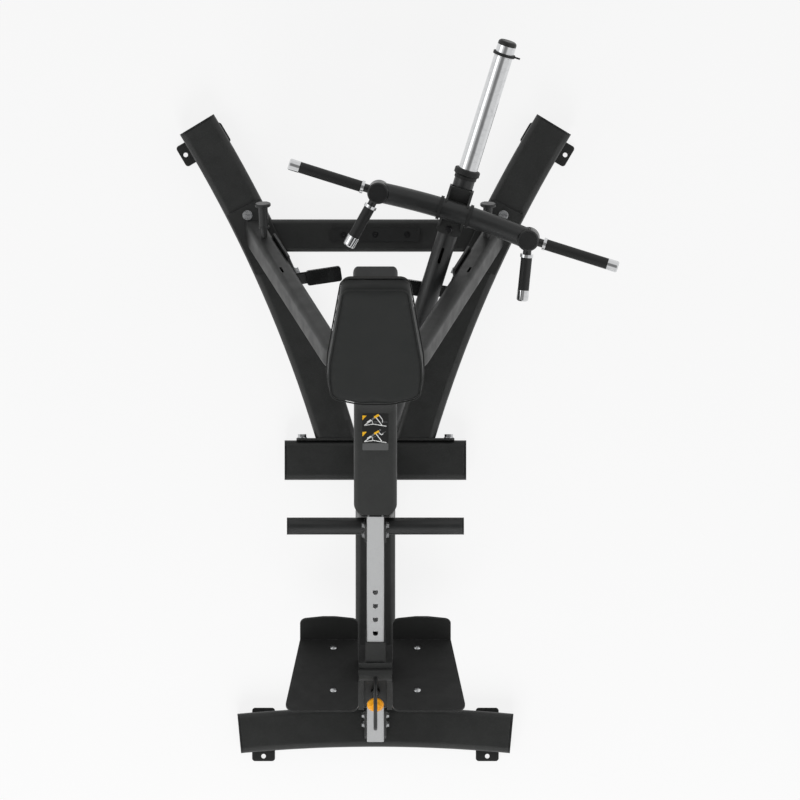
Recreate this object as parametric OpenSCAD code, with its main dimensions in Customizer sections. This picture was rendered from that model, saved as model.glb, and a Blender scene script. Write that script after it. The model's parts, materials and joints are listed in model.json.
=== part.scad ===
// Incline lever row: a chest-supported rowing machine.  A V-shaped floor frame carries a sloping rail
// with an adjustable foot carriage, a chest pad on a bent spine, and a free-swinging lever arm that
// takes weight plates on its far end.  X is across, Y runs away from the user, Z is up, and Z = 0 is
// the floor.  The origin lies midway between the two rear floor holes.

/* [Base frame] */
// Width of the rounded floor beams
beam_w = 104; // [96:1:110]
// Height of the floor beams
beam_h = 62; // [56:1:66]
// Outer corner radius of the floor beams
beam_r = 16; // [8:1:20]
// Wall thickness of all tubes
wall = 3; // [2:0.5:5]
// Thickness of the floor tabs
tab_t = 8; // [6:1:10]
// Radius of the floor bolt holes
tab_hole_r = 6; // [5:0.5:8]
// Half the length of the curved rear foot, without its caps
foot_half = 350; // [330:1:370]
// Bend radius of the rear foot
foot_bend_r = 3750; // [3000:50:5000]
// Half the length of the front cross tube, without its caps
cross_half = 231; // [225:1:240]
// Bend radius of the two long V beams
v_bend_r = 3485; // [3480:1:3490]

/* [Chest support] */
// Slope of the hoop that holds the chest pad
hoop_slope = 60; // [59:0.5:61]
// Width of the hoop tube, across the hoop
strut_w = 50; // [44:1:54]
// Depth of the hoop tube
strut_d = 68; // [60:1:72]
// Width of the spine
spine_w = 113; // [100:1:118]
// Depth of the spine
spine_d = 60; // [50:1:64]
// Slope of the chest pad
pad_slope = 40; // [38:1:42]
// Length of the chest pad, along its slope
pad_len = 406; // [380:1:420]
// Greatest width of the chest pad
pad_w = 259; // [240:1:270]
// Thickness of the cushion
pad_t = 45; // [35:1:50]

/* [Rail and foot carriage] */
// Slope of the slide rail
rail_slope = 40; // [38:1:42]
// Side of the square rail
rail_w = 45; // [44:0.5:46]
// Distance between two stops along the rail
stop_pitch = 46.7; // [44:0.1:48]
// Number of stops
stop_count = 8; // [4:1:8]
// Height of each foot plate
plate_h = 289; // [260:1:300]
// Diameter of the pull knob
knob_d = 44.5; // [38:0.5:48]

/* [Lever arm] */
// Height of the lift hinge
hinge_z = 205; // [200:1:210]
// Sideways angle of the arm on its rest
rack_yaw = 17.45; // [17:0.05:18]
// Upward angle of the arm on its rest
rack_rise = 8.5; // [8:0.5:9]
// Diameter of the arm tube and of the handlebar
arm_d = 54.5; // [50:0.5:56]
// Diameter of the weight sleeve
sleeve_d = 50; // [28:1:50]
// Length of the weight sleeve
sleeve_len = 356; // [300:1:380]

/* [Handlebar] */
// Half the distance between the two hubs
hub_half = 206; // [190:1:215]
// Diameter of the hubs
hub_d = 57; // [56:0.5:60]
// Diameter of the grips
grip_d = 29.4; // [27:0.1:32]
// Reach of the long grips from the middle of the hub
long_reach = 246; // [220:1:260]
// Reach of the short grips from the middle of the hub
short_reach = 164; // [150:1:180]
// Outward splay of the short grips
short_splay = 11.5; // [8:0.5:15]

/* [Hidden] */
$fn = 64;
BEND_FN = 1440;
SIDES = [-1, 1];

// Levels of the floor frame
beam_mid = tab_t + beam_h / 2;
beam_top = tab_t + beam_h;
cap_t = 7;
plug_t = 12;
plug_gap = 0.2;
weld_gap = 0.05;

// Rear foot: its middle line crosses X = 0 at this Y
foot_y = 76.5;
foot_angle = asin(foot_half / foot_bend_r);
rear_hole_x = 293;
tab_w = 60;

// Front cross tube and the flange on its far side
cross_y = 775.6;
flange_half = 207;
flange_t = 6;
cross_far_y = cross_y + beam_w / 2;
v_start_y = cross_far_y + flange_t;

// V beams: centre of the bend of the left one, and the polar angles it covers
v_centre = [-3443, -160];
v_first = 16;
v_last = 31.28;
v_tab_angle = 30.5;
v_hole_offset = 66;

// Cross beam between the V beams
far_y = 1364;
far_w = 85;
far_h = 56;
far_z = 11;
far_half = 300;
bumper_half = 117;
bumper_w = 35.6;
bumper_t = 8;

// Hoop that holds the chest pad: its leg axes meet the V beams at (+-hoop_x, hoop_y)
hoop_x = 317;
hoop_y = 1371;
hoop_plan_angle = 32.7;
strut_r = 14;
hoop_angle = atan(tan(hoop_plan_angle) * cos(hoop_slope));
hoop_knee_x = 119;
hoop_knee_y = (hoop_x - hoop_knee_x) / tan(hoop_angle);
hoop_bend_r = hoop_knee_x / cos(hoop_angle);
saddle_t = 6;
saddle_first = 24.4;
saddle_last = 27.3;

// Spine: a straight run from the rail's top end, a bend, and a straight run behind the pad
pad_y = 1070;
pad_z = 902;
board_t = 12;
spine_end_y = 632;
spine_rise = 14;
spine_bend_y = 930;
spine_bend_r = 110;
spine_r = 14;
spine_v = -(pad_t + board_t + spine_d / 2 + 0.3);
spine_bend_u = (spine_bend_y - pad_y + spine_v * sin(pad_slope)) / cos(pad_slope);
spine_bend_z = pad_z + spine_bend_u * sin(pad_slope) + spine_v * cos(pad_slope);
spine_bend_angle = pad_slope - spine_rise;
spine_tangent = spine_bend_r * tan(spine_bend_angle / 2);
spine_top_u = 166;
spine_low_len = (spine_bend_y - spine_end_y) / cos(spine_rise) - spine_tangent;
spine_nose_r = 30;

// Rail: its upper face starts at this point and rises at rail_slope
rail_y = 37.2;
rail_z = 105;
rail_end_y = 627;
rail_len = 790;
stop_u = 182.8;
pin_r = 5;
run_gap = 0.4;

// Foot plates: they cross the rail at this distance along it
plate_u = 229.5;
plate_t = 6;
plate_in = 45.5;
plate_out_low = 197.5;
plate_out_high = 239;
kick_len = 75;
wing_t = 8;
plate_bolts = [[110, -112], [110, 62]];

// Riser post: it leans from the base beam up to the spine
riser_w = 100;
riser_d = 60;
riser_foot = [636, beam_top];
riser_head = [668, 575];

// Foot crossbar and the brackets that hold it under the rail's top end
crossbar_d = 45;
foot_bar_half = 226;
foot_bar_v = -79;
foot_bar_u = (602.9 - rail_y + foot_bar_v * sin(rail_slope)) / cos(rail_slope);

// Yaw pivot on the front cross tube
pivot_y = 766;
kingpin_r = 15;
kingpin_top = 146;
washer_t = 4;
yoke_r = 38;
yoke_floor = 150;
cheek_gap = 30;
cheek_t = 12;
lift_pin_r = 10;
shaft_gap = 0.05;

// Stations along the arm, from the lift hinge
arm_r = arm_d / 2;
arm_start = 42;
arm_end = 792;
bar_y = 709;
bar_z = 62;
bar_drop = 12;
hub_y = 697;
hub_h = 60;
collar_y = 792;
collar_t = 26;
sleeve_start = collar_y + collar_t;
sleeve_end = sleeve_start + sleeve_len;
cap_len = 12;
ring_y = 1134;
ring_t = 7;
groove_at = ring_y - 3 - sleeve_start;
slot_y = 582;

// Rest for the arm on the right strut; the left rest is its mirror image, one step lower
cradle_y = 477;
cradle_gap = 0.5;
cradle_step = [24, 33, -57];
cradle_x = -32.5;
cradle_plate_at = 150;
cradle_drop = 69;

function unit(v) = v / norm(v);

// Points of a round corner at b, between a and c
function corner(a, b, c, r, n = 10) =
    let (
        u = unit(a - b),
        w = unit(c - b),
        half = acos(u * w) / 2,
        middle = b + unit(u + w) * r / sin(half),
        first = b + u * r / tan(half) - middle,
        last = b + w * r / tan(half) - middle,
        from = atan2(first[1], first[0]),
        turn = (atan2(last[1], last[0]) - from + 540) % 360 - 180
    )
    r == 0 ? [b] : [for (i = [0:n]) middle + r * [cos(from + turn * i / n), sin(from + turn * i / n)]];

// Polygon with the given corner radii
module soft_polygon(points, radii) {
    last = len(points) - 1;
    polygon([
        for (i = [0:last])
            each corner(points[i == 0 ? last : i - 1], points[i], points[i == last ? 0 : i + 1], radii[i])
    ]);
}

module rounded(w, h, r) {
    square([w - 2 * r, h], center = true);
    square([w, h - 2 * r], center = true);
    for (sx = SIDES, sy = SIDES)
        translate([sx * (w / 2 - r), sy * (h / 2 - r)])
            circle(r = r);
}

module tube_section(w, h, r) {
    difference() {
        rounded(w, h, r);
        rounded(w - 2 * wall, h - 2 * wall, max(r - wall, 1));
    }
}

module ring_section(r) {
    difference() {
        circle(r = r);
        circle(r = r - wall);
    }
}

module along_x(length) {
    rotate([90, 0, 90])
        linear_extrude(length)
            children();
}

module along_y(length) {
    rotate([90, 0, 180])
        linear_extrude(length)
            children();
}

module both_sides() {
    children();
    mirror([1, 0, 0])
        children();
}

// Bend in a plane of constant X, about (y, z) = centre, from one polar angle to another
module bend_yz(centre, radius, from, to) {
    translate([0, centre[0], centre[1]])
        rotate([90, 0, 90])
            rotate([0, 0, from])
                rotate_extrude(angle = to - from, $fn = 720)
                    translate([radius, 0])
                        children();
}

// Frames of the sloping groups
module pad_frame() {
    translate([0, pad_y, pad_z])
        rotate([pad_slope, 0, 0])
            children();
}

module rail_frame() {
    translate([0, rail_y, rail_z])
        rotate([rail_slope, 0, 0])
            children();
}

module hoop_frame() {
    translate([0, hoop_y, beam_top])
        rotate([180 - hoop_slope, 0, 0])
            children();
}

module leg_frame() {
    hoop_frame()
        translate([hoop_x, 0, 0])
            rotate([0, 0, hoop_angle])
                children();
}

module arm_frame() {
    translate([0, pivot_y, hinge_z])
        rotate([0, 0, -rack_yaw])
            rotate([rack_rise, 0, 0])
                children();
}

module v_frame(angle) {
    translate([v_centre[0], v_centre[1], 0])
        rotate([0, 0, angle])
            translate([v_bend_r, 0, 0])
                children();
}

// ---- Floor frame ----

module foot_frame(angle) {
    translate([0, foot_y - foot_bend_r, beam_mid])
        rotate([0, 0, angle])
            children();
}

module rear_foot() {
    color("#333433")
        foot_frame(90 - foot_angle)
            rotate_extrude(angle = 2 * foot_angle, $fn = BEND_FN)
                translate([foot_bend_r, 0])
                    tube_section(beam_w, beam_h, beam_r);
}

module rear_floor_tabs() {
    color("#3a3b3a")
        both_sides()
            difference() {
                translate([rear_hole_x, 57, 0])
                    linear_extrude(tab_t)
                        rounded(tab_w, 140, 8);
                translate([rear_hole_x, 0, -1])
                    cylinder(r = tab_hole_r, h = tab_t + 2);
            }
}

module base_beam() {
    start = foot_y + beam_w / 2;
    color("#333433")
        translate([0, start, beam_mid])
            along_y(cross_y - beam_w / 2 - start)
                tube_section(beam_w, beam_h, beam_r);
}

module front_cross_tube() {
    color("#333433")
        translate([-cross_half, cross_y, beam_mid])
            along_x(2 * cross_half)
                tube_section(beam_w, beam_h, beam_r);
}

// End plug of a floor beam: the cap lies on +Y, the plug reaches into the tube
module beam_cap() {
    inner_w = beam_w - 2 * wall - 2 * plug_gap;
    inner_h = beam_h - 2 * wall - 2 * plug_gap;
    along_y(cap_t)
        rounded(beam_w, beam_h, beam_r);
    translate([0, -plug_t, 0])
        along_y(plug_t)
            rounded(inner_w, inner_h, beam_r - wall);
}

module beam_end_caps() {
    color("#232423")
        both_sides() {
            foot_frame(90 + foot_angle)
                translate([foot_bend_r, 0, 0])
                    beam_cap();
            translate([-cross_half, cross_y, beam_mid])
                rotate([0, 0, 90])
                    beam_cap();
            v_frame(v_last)
                translate([0, 0, beam_mid])
                    beam_cap();
        }
}

module v_flange() {
    color("#3a3b3a")
        translate([0, cross_far_y, beam_mid])
            along_y(flange_t)
                rounded(2 * flange_half, beam_h + 4, 8);
}

module v_arc(first, last) {
    translate([v_centre[0], v_centre[1], beam_mid])
        rotate([0, 0, first])
            rotate_extrude(angle = last - first, $fn = BEND_FN)
                translate([v_bend_r, 0])
                    children();
}

module v_beam() {
    difference() {
        v_arc(v_first, v_last)
            tube_section(beam_w, beam_h, beam_r);
        translate([-400, v_start_y - 200, -10])
            cube([400, 200, 200]);
    }
}

module v_beam_left() {
    color("#333433")
        v_beam();
}

module v_beam_right() {
    color("#333433")
        mirror([1, 0, 0])
            v_beam();
}

module far_floor_tabs() {
    color("#3a3b3a")
        both_sides()
            v_frame(v_tab_angle)
                difference() {
                    translate([-11.75, 0, 0])
                        linear_extrude(tab_t)
                            rounded(135.5, tab_w, 8);
                    translate([-v_hole_offset, 0, -1])
                        cylinder(r = tab_hole_r, h = tab_t + 2);
                }
}

module far_cross_beam() {
    color("#333433")
        difference() {
            translate([-far_half, far_y, far_z + far_h / 2])
                along_x(2 * far_half)
                    tube_section(far_w, far_h, 12);
            both_sides()
                v_arc(v_first, v_last)
                    rounded(beam_w, beam_h, beam_r);
            both_sides()
                v_arc(v_first, v_last)
                    translate([-beam_w / 2, 0])
                        square([beam_w, beam_h], center = true);
        }
}

module arm_bumper() {
    color("#2a2b2a")
        translate([0, far_y + 2.5, far_z + far_h])
            difference() {
                linear_extrude(bumper_t)
                    rounded(2 * bumper_half, bumper_w, 6);
                for (x = [-84, 0, 84])
                    translate([x, 0, 3])
                        cylinder(r = 8, h = bumper_t);
            }
}

module bumper_screws() {
    color("#9a9b9b")
        for (x = [-84, 0, 84])
            translate([x, far_y + 2.5, far_z + far_h + 3])
                difference() {
                    cylinder(r = 7, h = 4);
                    translate([0, 0, 2])
                        cylinder(r = 3, h = 3, $fn = 6);
                }
}

// Hex bolt head with its washer, standing on +Z
module hex_head(flats = 19, height = 8) {
    cylinder(r = flats * 0.68, h = 2);
    translate([0, 0, 2])
        cylinder(d = flats / cos(30), h = height, $fn = 6);
}

module frame_bolts() {
    color("#8b8c8c")
        both_sides() {
            for (z = [24, 54])
                translate([192, v_start_y, z])
                    rotate([-90, 0, 0])
                        hex_head();
            for (angle = [24.72, 26.91])
                v_frame(angle)
                    translate([0, 0, beam_top + saddle_t])
                        hex_head();
            for (angle = [23.85, 26.95])
                v_frame(angle)
                    translate([beam_w / 2, 0, beam_mid])
                        rotate([0, 90, 0])
                            hex_head(16, 7);
            for (y = [-35, 35])
                translate([43, pivot_y + y, beam_top + 10])
                    hex_head(14, 6);
        }
}

// ---- Chest support ----

// Right half of the hoop: a straight leg, welded to a quarter of the bend
module hoop_half() {
    leg_len = norm([hoop_x - hoop_knee_x, hoop_knee_y]);
    difference() {
        leg_frame()
            translate([0, -80, 0])
                along_y(leg_len + 80 - weld_gap)
                    tube_section(strut_w, strut_d, strut_r);
        translate([0, hoop_y - 200, beam_top + saddle_t - 200])
            cube([600, 400, 200]);
        translate([0, hoop_y + 31, 0])
            cube([600, 200, 200]);
        leg_frame()
            translate([6, 248, -strut_d / 2 - 2])
                cube([6, 28, 6]);
    }
    difference() {
        hoop_frame()
            translate([0, hoop_knee_y - hoop_bend_r * sin(hoop_angle), 0])
                rotate([0, 0, hoop_angle])
                    rotate_extrude(angle = 90 - hoop_angle, $fn = 360)
                        translate([hoop_bend_r, 0])
                            tube_section(strut_w, strut_d, strut_r);
        spine_upper();
    }
}

module strut_right() {
    color("#4a4b4a")
        hoop_half();
}

module strut_left() {
    color("#4a4b4a")
        mirror([1, 0, 0])
            hoop_half();
}

module strut_saddles() {
    color("#3f403f")
        both_sides()
            translate([0, 0, beam_h / 2 + saddle_t / 2])
                v_arc(saddle_first, saddle_last)
                    rounded(98, saddle_t, 2);
}

module band_peg() {
    rotate_extrude()
        polygon([
            [0, 0], [8, 0], [8, 36], [14, 36], [14, 41], [12.5, 41], [12.5, 92],
            [19, 94], [21, 96], [21, 101], [19, 103], [0, 103]
        ]);
}

module band_pegs() {
    color("#2a2b2b")
        both_sides()
            difference() {
                translate([290, 1349, 152])
                    rotate([-76, 0, 0])
                        rotate([0, 3, 0])
                            band_peg();
                leg_outside();
            }
}

module cradle_frame() {
    arm_frame()
        translate([0, cradle_y, -arm_r - cradle_gap - 16])
            rotate([0, 0, rack_yaw - 8.3])
                children();
}

module leg_outside() {
    leg_frame()
        along_y(500)
            rounded(strut_w, strut_d, strut_r);
}

// Plate on the strut's inner face, at that distance up the strut
module cradle_plate(from) {
    leg_frame()
        translate([-strut_w / 2 - 6.02, from, -38])
            cube([6, 126, 76]);
}

// Bar under the block, and the thicker neck that runs on into the plate
module cradle_bar(plate_from) {
    difference() {
        translate(plate_from == cradle_plate_at ? [0, 0, 0] : cradle_step)
            cradle_frame() {
                translate([cradle_x - 36, -15, -10])
                    cube([160, 30, 10]);
                translate([cradle_x + 48, -12, -10.1])
                    cube([76, 24, 22]);
            }
        leg_frame()
            translate([-strut_w / 2 - 6.1, -100, -120])
                cube([300, 700, 240]);
    }
}

module cradle_pad() {
    cradle_frame()
        difference() {
            translate([cradle_x, 0, 0])
                linear_extrude(16)
                    rounded(92, 39, 7);
            translate([cradle_x, 0, -1])
                linear_extrude(4)
                    rounded(70, 26, 3);
        }
}

module both_cradles() {
    children();
    mirror([1, 0, 0])
        translate(cradle_step)
            children();
}

module cradle_brackets() {
    color("#3f403f") {
        cradle_plate(cradle_plate_at);
        cradle_bar(cradle_plate_at);
        mirror([1, 0, 0]) {
            cradle_plate(cradle_plate_at - cradle_drop);
            cradle_bar(cradle_plate_at - cradle_drop);
        }
    }
}

module cradle_pads() {
    color("#1f2020")
        both_cradles()
            cradle_pad();
}

// Cross-section of the spine's outside, or of its hollow
module spine_section(hollow) {
    less = hollow ? wall : 0;
    rounded(spine_w - 2 * less, spine_d - 2 * less, spine_r - less);
}

module spine_upper(hollow = false) {
    translate([0, spine_bend_y, spine_bend_z])
        rotate([pad_slope, 0, 0])
            translate([0, spine_tangent + weld_gap, 0])
                along_y(spine_top_u - spine_bend_u - spine_tangent - weld_gap)
                    spine_section(hollow);
}

// Lower run, with the corners of its end rounded in plan
module spine_lower() {
    intersection() {
        translate([0, spine_bend_y, spine_bend_z])
            rotate([spine_rise, 0, 0])
                translate([0, -spine_tangent - spine_low_len - 20, 0])
                    along_y(spine_low_len + 20 - weld_gap)
                        spine_section(false);
        union() {
            translate([-spine_w / 2 - 1, spine_end_y + spine_nose_r, 400])
                cube([spine_w + 2, 400, 600]);
            translate([-spine_w / 2 + spine_nose_r, spine_end_y, 400])
                cube([spine_w - 2 * spine_nose_r, 400, 600]);
            for (s = SIDES)
                translate([s * (spine_w / 2 - spine_nose_r), spine_end_y + spine_nose_r, 400])
                    cylinder(r = spine_nose_r, h = 600);
        }
    }
}

module spine_elbow(hollow = false) {
    bend_yz(
        [
            spine_bend_y - spine_tangent * cos(spine_rise) - spine_bend_r * sin(spine_rise),
            spine_bend_z - spine_tangent * sin(spine_rise) + spine_bend_r * cos(spine_rise)
        ],
        spine_bend_r, spine_rise - 90, pad_slope - 90
    )
        rotate([0, 0, 90])
            spine_section(hollow);
}

module spine() {
    color("#3d3e3d") {
        difference() {
            spine_upper();
            spine_upper(true);
        }
        difference() {
            spine_elbow();
            spine_elbow(true);
        }
        difference() {
            spine_lower();
            translate([0, spine_bend_y, spine_bend_z])
                rotate([spine_rise, 0, 0])
                    translate([0, -spine_tangent - spine_low_len + 45, 0])
                        along_y(spine_low_len)
                            spine_section(true);
        }
    }
}

// Nylon cap with round corners in plan and a small grip nib
module spine_top_cap() {
    wide = spine_w + 4;
    color("#2a2b2a")
        pad_frame()
            translate([0, spine_top_u, spine_v]) {
                intersection() {
                    along_y(14)
                        rounded(wide, spine_d, spine_r);
                    translate([0, -6, -spine_d])
                        linear_extrude(2 * spine_d)
                            rounded(wide, 40, 12);
                }
                translate([0, 13, 8])
                    along_y(4)
                        rounded(20, 16, 5);
                translate([0, -plug_t, 0])
                    along_y(plug_t)
                        rounded(spine_w - 2 * wall - 0.4, spine_d - 2 * wall - 0.4, spine_r - wall);
            }
}

module decal_panel() {
    color("#1b1b1b")
        translate([0, spine_bend_y, spine_bend_z])
            rotate([spine_rise, 0, 0])
                translate([0, -65, spine_d / 2])
                    linear_extrude(0.6)
                        rounded(69, 78, 3);
}

module riser_post() {
    run = riser_head - riser_foot;
    color("#333433")
        difference() {
            translate([0, riser_foot[0], riser_foot[1]])
                rotate([atan2(run[1], run[0]), 0, 0])
                    translate([0, -20, 0])
                        along_y(norm(run) + 60)
                            tube_section(riser_w, riser_d, 12);
            translate([-100, 500, beam_top - 100])
                cube([200, 300, 100]);
            spine_lower();
            translate([-100, 500, 600])
                cube([200, 300, 100]);
        }
}

// Outline of the chest pad: narrow at the head end, crowned at the waist end
module pad_outline(inset) {
    w = pad_w / 2 - inset;
    top = pad_len / 2 - inset;
    low = -pad_len / 2 + inset;
    soft_polygon(
        [
            [-w * 0.32, low], [w * 0.32, low], [w - 7, low + 20], [w, low + 90], [w - 2, -55],
            [w * 0.7, top], [-w * 0.7, top], [-w + 2, -55], [-w, low + 90], [-w + 7, low + 20]
        ],
        [120, 120, 30, 120, 200, 26, 26, 200, 120, 30]
    );
}

module pad_board() {
    color("#1e1f1f")
        pad_frame()
            translate([0, 0, -pad_t - board_t])
                linear_extrude(board_t)
                    pad_outline(6);
}

module pad_cushion() {
    color("#2c2d2e")
        pad_frame()
            translate([0, 0, -pad_t])
                linear_extrude(pad_t)
                    pad_outline(0);
}

// ---- Slide rail ----

module stop_slot() {
    circle(r = 6.5);
    translate([-6.5, 0])
        square([13, 8.5]);
}

module slide_rail() {
    color("#c6c7c8")
        difference() {
            rail_frame()
                difference() {
                    translate([0, 0, -rail_w / 2])
                        along_y(rail_len)
                            rounded(rail_w, rail_w, 4);
                    translate([0, 4, -rail_w / 2])
                        along_y(rail_len)
                            rounded(rail_w - 2 * wall, rail_w - 2 * wall, 2);
                    for (i = [0:stop_count - 1])
                        translate([0, stop_u + i * stop_pitch, -wall - 1])
                            linear_extrude(wall + 2)
                                stop_slot();
                }
            translate([-50, rail_end_y, 400])
                cube([100, 200, 400]);
        }
}

module rail_end_plate() {
    color("#3a3b3a")
        translate([-36, rail_end_y, 522])
            cube([72, 5, 84]);
}

module rail_brackets() {
    color("#8f9091")
        both_sides() {
            rail_frame()
                difference() {
                    translate([rail_w / 2 + 0.02, 0, 0])
                        rotate([90, 0, 90])
                            linear_extrude(6)
                                soft_polygon(
                                    [
                                        [677, -3], [744, -3], [738, -30], [foot_bar_u + 29, foot_bar_v],
                                        [foot_bar_u - 14, foot_bar_v - 26], [foot_bar_u - 28, foot_bar_v + 8],
                                        [677, -52]
                                    ],
                                    [6, 6, 10, 10, 8, 8, 10]
                                );
                    translate([0, foot_bar_u, foot_bar_v])
                        along_x(100)
                            circle(r = crossbar_d / 2 + 0.02);
                }
            translate([rail_w / 2 + 0.02, 0, 0])
                rotate([90, 0, 90])
                    linear_extrude(6)
                        soft_polygon(
                            [[44, beam_top], [126, beam_top], [126, 168], [108, 158], [52, 110]],
                            [0, 0, 8, 8, 8]
                        );
        }
}

module rail_bolts() {
    color("#a5a6a7")
        both_sides() {
            rail_frame()
                for (u = [687, 720])
                    translate([rail_w / 2 + 6.04, u, -26])
                        rotate([0, 90, 0])
                            hex_head(13, 5);
            for (p = [[84, 112], [108, 132]])
                translate([rail_w / 2 + 6.04, p[0], p[1]])
                    rotate([0, 90, 0])
                        hex_head(13, 5);
            translate([18.3, rail_end_y + 2.5, 606])
                cylinder(r = 2.3, h = 3);
        }
}

module foot_crossbar() {
    color("#2c2d2c")
        rail_frame()
            translate([-foot_bar_half, foot_bar_u, foot_bar_v])
                along_x(2 * foot_bar_half)
                    ring_section(crossbar_d / 2);
}

module foot_crossbar_caps() {
    color("#1f2020")
        both_sides()
            rail_frame()
                translate([foot_bar_half, foot_bar_u, foot_bar_v]) {
                    along_x(6)
                        circle(d = crossbar_d);
                    translate([-15, 0, 0])
                        along_x(15)
                            circle(r = crossbar_d / 2 - wall - plug_gap);
                }
}

// ---- Foot carriage ----

module tunnel(w, low, high, from, to) {
    translate([-w, from, low])
        cube([2 * w, to - from, high - low]);
}

module carriage_body() {
    liner = 3;
    w = rail_w / 2 + run_gap + liner;
    color("#3a3b3a")
        rail_frame()
            difference() {
                union() {
                    translate([-44.5, 130, -64])
                        cube([89, 148, 74]);
                    for (s = SIDES)
                        translate([s * 37.5 - 7, 130, 0])
                            cube([14, 112, 24]);
                    translate([-44.5, 243, 12])
                        rotate([0, 90, 0])
                            cylinder(r = 18, h = 89);
                    translate([-26.5, 270, -49])
                        cube([53, 72, 53.5]);
                    translate([0, stop_u, 0])
                        cylinder(r = 12, h = 22);
                    for (s = SIDES)
                        translate([0, plate_u - plate_t, 0])
                            rotate([90, 0, 0])
                                linear_extrude(wing_t)
                                    soft_polygon(
                                        [[s * 40, -62], [s * 96, -132], [s * 150, -132], [s * 150, 78],
                                         [s * 96, 78], [s * 40, 10]],
                                        [0, 12, 16, 16, 12, 0]
                                    );
                }
                tunnel(w, -rail_w - run_gap - liner, run_gap + liner, 100, 270);
                tunnel(rail_w / 2 + run_gap, -rail_w - run_gap, run_gap, 260, 400);
                translate([0, stop_u, -10])
                    cylinder(r = pin_r + shaft_gap, h = 60);
            }
}

module carriage_liners() {
    liner = 3;
    inner = rail_w / 2 + run_gap;
    color("#d8d9d6")
        rail_frame()
            for (from = [132, 240])
                difference() {
                    tunnel(inner + liner, -rail_w - run_gap - liner, run_gap + liner, from, from + 26);
                    tunnel(inner, -rail_w - run_gap, run_gap, from - 1, from + 27);
                }
}

// Right foot plate with its toe stop, and holes for its two bolts
module foot_plate() {
    half = plate_h / 2;
    rail_frame() {
        difference() {
            translate([0, plate_u, 0])
                rotate([90, 0, 0])
                    linear_extrude(plate_t)
                        soft_polygon(
                            [[plate_in, -half], [plate_out_low, -half], [plate_out_high, half], [plate_in, half]],
                            [0, 0, 26, 22]
                        );
            for (p = plate_bolts)
                translate([p[0], plate_u + 1, p[1]])
                    rotate([90, 0, 0])
                        cylinder(r = 5.5, h = plate_t + 2);
        }
        translate([0, 0, -half - plate_t])
            linear_extrude(plate_t)
                soft_polygon(
                    [
                        [plate_in, plate_u - plate_t], [plate_out_low, plate_u - plate_t],
                        [plate_out_low, plate_u + kick_len - 8], [plate_out_low - 60, plate_u + kick_len],
                        [plate_in + 60, plate_u + kick_len], [plate_in, plate_u + kick_len - 8]
                    ],
                    [0, 0, 18, 60, 60, 18]
                );
    }
}

module foot_plate_right() {
    color("#262727")
        foot_plate();
}

module foot_plate_left() {
    color("#262727")
        mirror([1, 0, 0])
            foot_plate();
}

module foot_plate_bolts() {
    color("#b5b6b7")
        both_sides()
            rail_frame()
                for (p = plate_bolts) {
                    translate([p[0], plate_u, p[1]])
                        rotate([-90, 0, 0])
                            intersection() {
                                cylinder(r = 9, h = 4);
                                translate([0, 0, -8])
                                    sphere(r = 12);
                            }
                    translate([p[0], plate_u - plate_t - wing_t, p[1]])
                        rotate([90, 0, 0])
                            hex_head(14, 6);
                }
}

// Loop handle over the knob
module lift_handle() {
    rod = 5;
    bend = 20;
    top = 126 - rod;
    near = 136;
    far = 243;
    color("#1c1d1d")
        rail_frame() {
            translate([0, near, 10.02])
                cylinder(r = rod, h = top - bend - 10.02);
            difference() {
                translate([0, far, 22])
                    cylinder(r = rod, h = top - bend - 22);
                translate([-20, 243, 12])
                    rotate([0, 90, 0])
                        cylinder(r = 18.02, h = 40);
            }
            translate([0, near + bend, top])
                rotate([-90, 0, 0])
                    cylinder(r = rod, h = far - near - 2 * bend);
            translate([0, near + bend, top - bend])
                rotate([0, 0, 180])
                    rotate([90, 0, 90])
                        rotate_extrude(angle = 90)
                            translate([bend, 0])
                                circle(r = rod);
            translate([0, far - bend, top - bend])
                rotate([90, 0, 90])
                    rotate_extrude(angle = 90)
                        translate([bend, 0])
                            circle(r = rod);
        }
}

module lock_pin() {
    color("#c9cacb")
        rail_frame()
            translate([0, stop_u, 0]) {
                translate([0, 0, run_gap + 0.3])
                    cylinder(r = pin_r, h = 45);
                translate([0, 0, 36])
                    cylinder(r = 8, h = 13);
            }
}

module pin_knob() {
    r = knob_d / 2;
    color("#f08a1d")
        rail_frame()
            translate([0, stop_u, 49])
                rotate_extrude()
                    polygon(concat(
                        [[0, 0], [9, 0], [10, 6], [r - 4, 10]],
                        [for (a = [-60:15:60]) [r - 6 + 6 * cos(a), 17 + 6 * sin(a)]],
                        [[r - 5, 24], [r * 0.55, 29], [0, 31]]
                    ));
}

// ---- Lever arm ----

module pivot_base() {
    color("#3a3b3a")
        translate([0, pivot_y, beam_top])
            difference() {
                translate([0, 0, 0])
                    linear_extrude(10)
                        rounded(112, 96, 12);
                for (sx = SIDES, sy = SIDES)
                    translate([sx * 43, sy * 35, -1])
                        cylinder(r = 5, h = 12);
            }
}

module kingpin() {
    color("#b0b1b2")
        translate([0, pivot_y, beam_top + 10])
            cylinder(r = kingpin_r, h = kingpin_top - beam_top - 10);
}

module thrust_washer() {
    color("#b08d57")
        translate([0, pivot_y, beam_top + 10])
            difference() {
                cylinder(r = 32, h = washer_t - 0.3);
                translate([0, 0, -1])
                    cylinder(r = kingpin_r, h = washer_t + 2);
            }
}

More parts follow.
